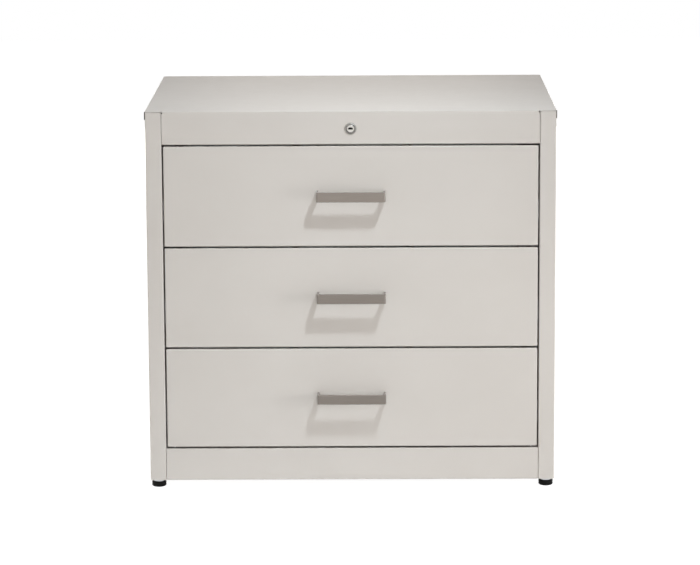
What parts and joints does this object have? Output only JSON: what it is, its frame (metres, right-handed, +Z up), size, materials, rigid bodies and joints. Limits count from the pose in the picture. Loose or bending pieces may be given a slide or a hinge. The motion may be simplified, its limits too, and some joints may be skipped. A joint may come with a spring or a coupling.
{
  "type": "card index cabinet",
  "caption": "Low sheet-steel card index cabinet with full-width drawers on telescopic runners, bow handles, card rows with follower plates and central locking.",
  "frame": {"origin": "on the floor, under the middle of the cabinet's box with its handles", "axes": "+X to the right seen from the front, +Y to the back, +Z up; the drawers open towards -Y"},
  "size_m": [0.787, 0.62, 0.7355],
  "materials": {
    "warm_grey_paint": "warm light grey powder coat, semi-gloss",
    "satin_metal": "satin grey metal",
    "nickel": "satin nickel plate",
    "zinc_plate": "bright zinc plate",
    "black_plastic": "matt black"
  },
  "bodies": {
    "cabinet": {"top_panel": "warm_grey_paint", "side_panel_left": "warm_grey_paint", "side_panel_right": "warm_grey_paint", "back_panel": "warm_grey_paint", "base_panel": "warm_grey_paint", "lock_housing": "nickel", "lock_bracket": "zinc_plate", "lock_bar_guide": "zinc_plate", "runner_1_outer_left": "zinc_plate", "runner_1_outer_right": "zinc_plate", "runner_2_outer_left": "zinc_plate", "runner_2_outer_right": "zinc_plate", "runner_3_outer_left": "zinc_plate", "runner_3_outer_right": "zinc_plate"},
    "foot_front_left": {"foot_front_left": "black_plastic"},
    "foot_front_right": {"foot_front_right": "black_plastic"},
    "foot_rear_left": {"foot_rear_left": "black_plastic"},
    "foot_rear_right": {"foot_rear_right": "black_plastic"},
    "lock": {"lock_plug": "nickel", "lock_rod": "zinc_plate"},
    "lock_bar": {"lock_bar": "zinc_plate"},
    "drawer_1": {"drawer_1_front": "warm_grey_paint", "drawer_1_handle": "satin_metal", "drawer_1_tray": "warm_grey_paint", "drawer_1_divider_left": "warm_grey_paint", "drawer_1_divider_right": "warm_grey_paint", "drawer_1_lock_catch": "zinc_plate", "runner_1_inner_left": "zinc_plate", "runner_1_inner_right": "zinc_plate"},
    "runner_1": {"runner_1_middle_left": "zinc_plate", "runner_1_middle_right": "zinc_plate"},
    "drawer_1_follower_left": {"drawer_1_follower_left": "zinc_plate"},
    "drawer_1_follower_centre": {"drawer_1_follower_centre": "zinc_plate"},
    "drawer_1_follower_right": {"drawer_1_follower_right": "zinc_plate"},
    "drawer_2": {"drawer_2_front": "warm_grey_paint", "drawer_2_handle": "satin_metal", "drawer_2_tray": "warm_grey_paint", "drawer_2_divider_left": "warm_grey_paint", "drawer_2_divider_right": "warm_grey_paint", "drawer_2_lock_catch": "zinc_plate", "runner_2_inner_left": "zinc_plate", "runner_2_inner_right": "zinc_plate"},
    "runner_2": {"runner_2_middle_left": "zinc_plate", "runner_2_middle_right": "zinc_plate"},
    "drawer_2_follower_left": {"drawer_2_follower_left": "zinc_plate"},
    "drawer_2_follower_centre": {"drawer_2_follower_centre": "zinc_plate"},
    "drawer_2_follower_right": {"drawer_2_follower_right": "zinc_plate"},
    "drawer_3": {"drawer_3_front": "warm_grey_paint", "drawer_3_handle": "satin_metal", "drawer_3_tray": "warm_grey_paint", "drawer_3_divider_left": "warm_grey_paint", "drawer_3_divider_right": "warm_grey_paint", "drawer_3_lock_catch": "zinc_plate", "runner_3_inner_left": "zinc_plate", "runner_3_inner_right": "zinc_plate"},
    "runner_3": {"runner_3_middle_left": "zinc_plate", "runner_3_middle_right": "zinc_plate"},
    "drawer_3_follower_left": {"drawer_3_follower_left": "zinc_plate"},
    "drawer_3_follower_centre": {"drawer_3_follower_centre": "zinc_plate"},
    "drawer_3_follower_right": {"drawer_3_follower_right": "zinc_plate"}
  },
  "joints": [
    {"name": "drawer_1_slide", "type": "slide", "parent": "cabinet", "child": "drawer_1", "axis": [0, -1, 0], "range_m": [0, 0.5]},
    {"name": "runner_1_slide", "type": "slide", "parent": "cabinet", "child": "runner_1", "axis": [0, -1, 0], "range_m": [0, 0.25]},
    {"name": "drawer_2_slide", "type": "slide", "parent": "cabinet", "child": "drawer_2", "axis": [0, -1, 0], "range_m": [0, 0.5]},
    {"name": "runner_2_slide", "type": "slide", "parent": "cabinet", "child": "runner_2", "axis": [0, -1, 0], "range_m": [0, 0.25]},
    {"name": "drawer_3_slide", "type": "slide", "parent": "cabinet", "child": "drawer_3", "axis": [0, -1, 0], "range_m": [0, 0.5]},
    {"name": "runner_3_slide", "type": "slide", "parent": "cabinet", "child": "runner_3", "axis": [0, -1, 0], "range_m": [0, 0.25]},
    {"name": "lock_turn", "type": "hinge", "parent": "cabinet", "child": "lock", "pos_m": [0, -0.28, 0.7023], "axis": [0, 1, 0], "range_deg": [0, 90]},
    {"name": "lock_bar_lift", "type": "slide", "parent": "cabinet", "child": "lock_bar", "axis": [0, 0, 1], "range_m": [0, 0.01445]},
    {"name": "drawer_1_follower_left_slide", "type": "slide", "parent": "drawer_1", "child": "drawer_1_follower_left", "axis": [0, -1, 0], "range_m": [0, 0.4]},
    {"name": "drawer_1_follower_centre_slide", "type": "slide", "parent": "drawer_1", "child": "drawer_1_follower_centre", "axis": [0, -1, 0], "range_m": [0, 0.4]},
    {"name": "drawer_1_follower_right_slide", "type": "slide", "parent": "drawer_1", "child": "drawer_1_follower_right", "axis": [0, -1, 0], "range_m": [0, 0.4]},
    {"name": "drawer_2_follower_left_slide", "type": "slide", "parent": "drawer_2", "child": "drawer_2_follower_left", "axis": [0, -1, 0], "range_m": [0, 0.4]},
    {"name": "drawer_2_follower_centre_slide", "type": "slide", "parent": "drawer_2", "child": "drawer_2_follower_centre", "axis": [0, -1, 0], "range_m": [0, 0.4]},
    {"name": "drawer_2_follower_right_slide", "type": "slide", "parent": "drawer_2", "child": "drawer_2_follower_right", "axis": [0, -1, 0], "range_m": [0, 0.4]},
    {"name": "drawer_3_follower_left_slide", "type": "slide", "parent": "drawer_3", "child": "drawer_3_follower_left", "axis": [0, -1, 0], "range_m": [0, 0.4]},
    {"name": "drawer_3_follower_centre_slide", "type": "slide", "parent": "drawer_3", "child": "drawer_3_follower_centre", "axis": [0, -1, 0], "range_m": [0, 0.4]},
    {"name": "drawer_3_follower_right_slide", "type": "slide", "parent": "drawer_3", "child": "drawer_3_follower_right", "axis": [0, -1, 0], "range_m": [0, 0.4]},
    {"name": "foot_front_left_turn", "type": "hinge", "parent": "cabinet", "child": "foot_front_left", "pos_m": [-0.3767, -0.2645, 0], "axis": [0, 0, 1], "continuous": true},
    {"name": "foot_front_right_turn", "type": "hinge", "parent": "cabinet", "child": "foot_front_right", "pos_m": [0.3767, -0.2645, 0], "axis": [0, 0, 1], "continuous": true},
    {"name": "foot_rear_left_turn", "type": "hinge", "parent": "cabinet", "child": "foot_rear_left", "pos_m": [-0.3767, 0.2932, 0], "axis": [0, 0, 1], "continuous": true},
    {"name": "foot_rear_right_turn", "type": "hinge", "parent": "cabinet", "child": "foot_rear_right", "pos_m": [0.3767, 0.2932, 0], "axis": [0, 0, 1], "continuous": true}
  ],
  "couplings": [
    {"joint": "runner_1_slide", "follows": "drawer_1_slide", "ratio": 0.5},
    {"joint": "runner_2_slide", "follows": "drawer_2_slide", "ratio": 0.5},
    {"joint": "runner_3_slide", "follows": "drawer_3_slide", "ratio": 0.5},
    {"joint": "lock_turn", "follows": "lock_bar_lift", "rad_per_m": 108.7}
  ]
}
